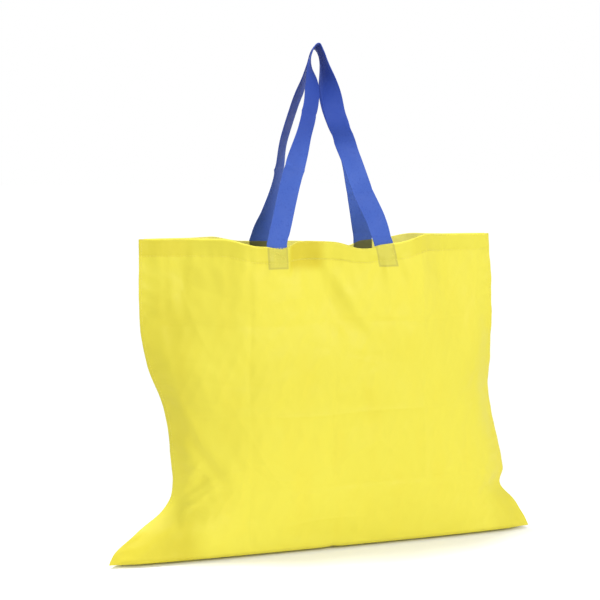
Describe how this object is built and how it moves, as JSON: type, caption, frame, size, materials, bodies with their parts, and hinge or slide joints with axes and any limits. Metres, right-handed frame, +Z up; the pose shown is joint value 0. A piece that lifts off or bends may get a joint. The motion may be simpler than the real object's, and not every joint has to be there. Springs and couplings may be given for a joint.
{
  "type": "foldable tote bag",
  "caption": "Thin woven tote standing open on a pleated base, with two webbing handles that swing and an elastic loop that holds it when folded.",
  "frame": {"origin": "on the floor under the middle of the bag", "axes": "+X along the bag's width, -Y towards the front panel, +Z up"},
  "size_m": [0.544, 0.1036, 0.6121],
  "materials": {
    "yellow_cloth": "thin plain-woven polyester, slightly translucent, soft sheen",
    "yellow_hem": "the same cloth folded double, so deeper in colour",
    "thread": "polyester sewing thread, matt",
    "blue_webbing": "flat woven strap, matt with a fine rib",
    "blue_elastic": "woven elastic band, matt"
  },
  "bodies": {
    "bag": {"base_panel": "yellow_cloth", "left_side_seam": "yellow_hem", "right_side_seam": "yellow_hem", "left_corner_tuck": "yellow_hem", "right_corner_tuck": "yellow_hem", "left_seam_stitching": "thread", "right_seam_stitching": "thread"},
    "front": {"front_panel": "yellow_cloth", "front_hem": "yellow_hem", "front_hem_stitching": "thread", "front_left_strap_end": "blue_webbing", "front_right_strap_end": "blue_webbing", "front_left_box_stitch": "thread", "front_right_box_stitch": "thread"},
    "rear": {"back_panel": "yellow_cloth", "back_hem": "yellow_hem", "back_hem_stitching": "thread", "rear_left_strap_end": "blue_webbing", "rear_right_strap_end": "blue_webbing", "rear_left_box_stitch": "thread", "rear_right_box_stitch": "thread", "closure_band_end": "blue_elastic", "closure_band_stitch": "thread"},
    "front_necks": {"front_left_strap_neck": "blue_webbing", "front_right_strap_neck": "blue_webbing"},
    "rear_necks": {"rear_left_strap_neck": "blue_webbing", "rear_right_strap_neck": "blue_webbing"},
    "front_handle": {"front_handle_loop": "blue_webbing"},
    "rear_handle": {"rear_handle_loop": "blue_webbing"},
    "closure_band": {"closure_band_loop": "blue_elastic"}
  },
  "joints": [
    {"name": "flatten", "type": "slide", "parent": "bag", "child": "front", "axis": [0, 1, 0], "range_m": [0, 0.038], "deforming": ["front_panel", "front_hem", "front_hem_stitching", "base_panel", "left_corner_tuck", "right_corner_tuck"]},
    {"name": "flatten_rear", "type": "slide", "parent": "bag", "child": "rear", "axis": [0, 1, 0], "range_m": [-0.038, 0], "deforming": ["back_panel", "back_hem", "back_hem_stitching"]},
    {"name": "front_strap_lean", "type": "hinge", "parent": "front", "child": "front_necks", "pos_m": [0, -0.0414, 0.37465], "axis": [1, 0, 0], "range_deg": [0, 9.6]},
    {"name": "rear_strap_lean", "type": "hinge", "parent": "rear", "child": "rear_necks", "pos_m": [0, 0.0414, 0.37465], "axis": [1, 0, 0], "range_deg": [-9.6, 0]},
    {"name": "front_handle_swing", "type": "hinge", "parent": "front_necks", "child": "front_handle", "pos_m": [0, -0.0414, 0.3805], "axis": [1, 0, 0], "range_deg": [0, 155]},
    {"name": "rear_handle_swing", "type": "hinge", "parent": "rear_necks", "child": "rear_handle", "pos_m": [0, 0.0414, 0.3805], "axis": [1, 0, 0], "range_deg": [-155, 0]},
    {"name": "closure_band_swing", "type": "hinge", "parent": "rear", "child": "closure_band", "pos_m": [0, 0.0481, 0.3404], "axis": [1, 0, 0], "range_deg": [0, 150]}
  ],
  "couplings": [
    {"joint": "flatten_rear", "follows": "flatten", "ratio": -1},
    {"joint": "front_strap_lean", "follows": "flatten", "rad_per_m": 4.36},
    {"joint": "rear_strap_lean", "follows": "flatten", "rad_per_m": -4.36}
  ]
}
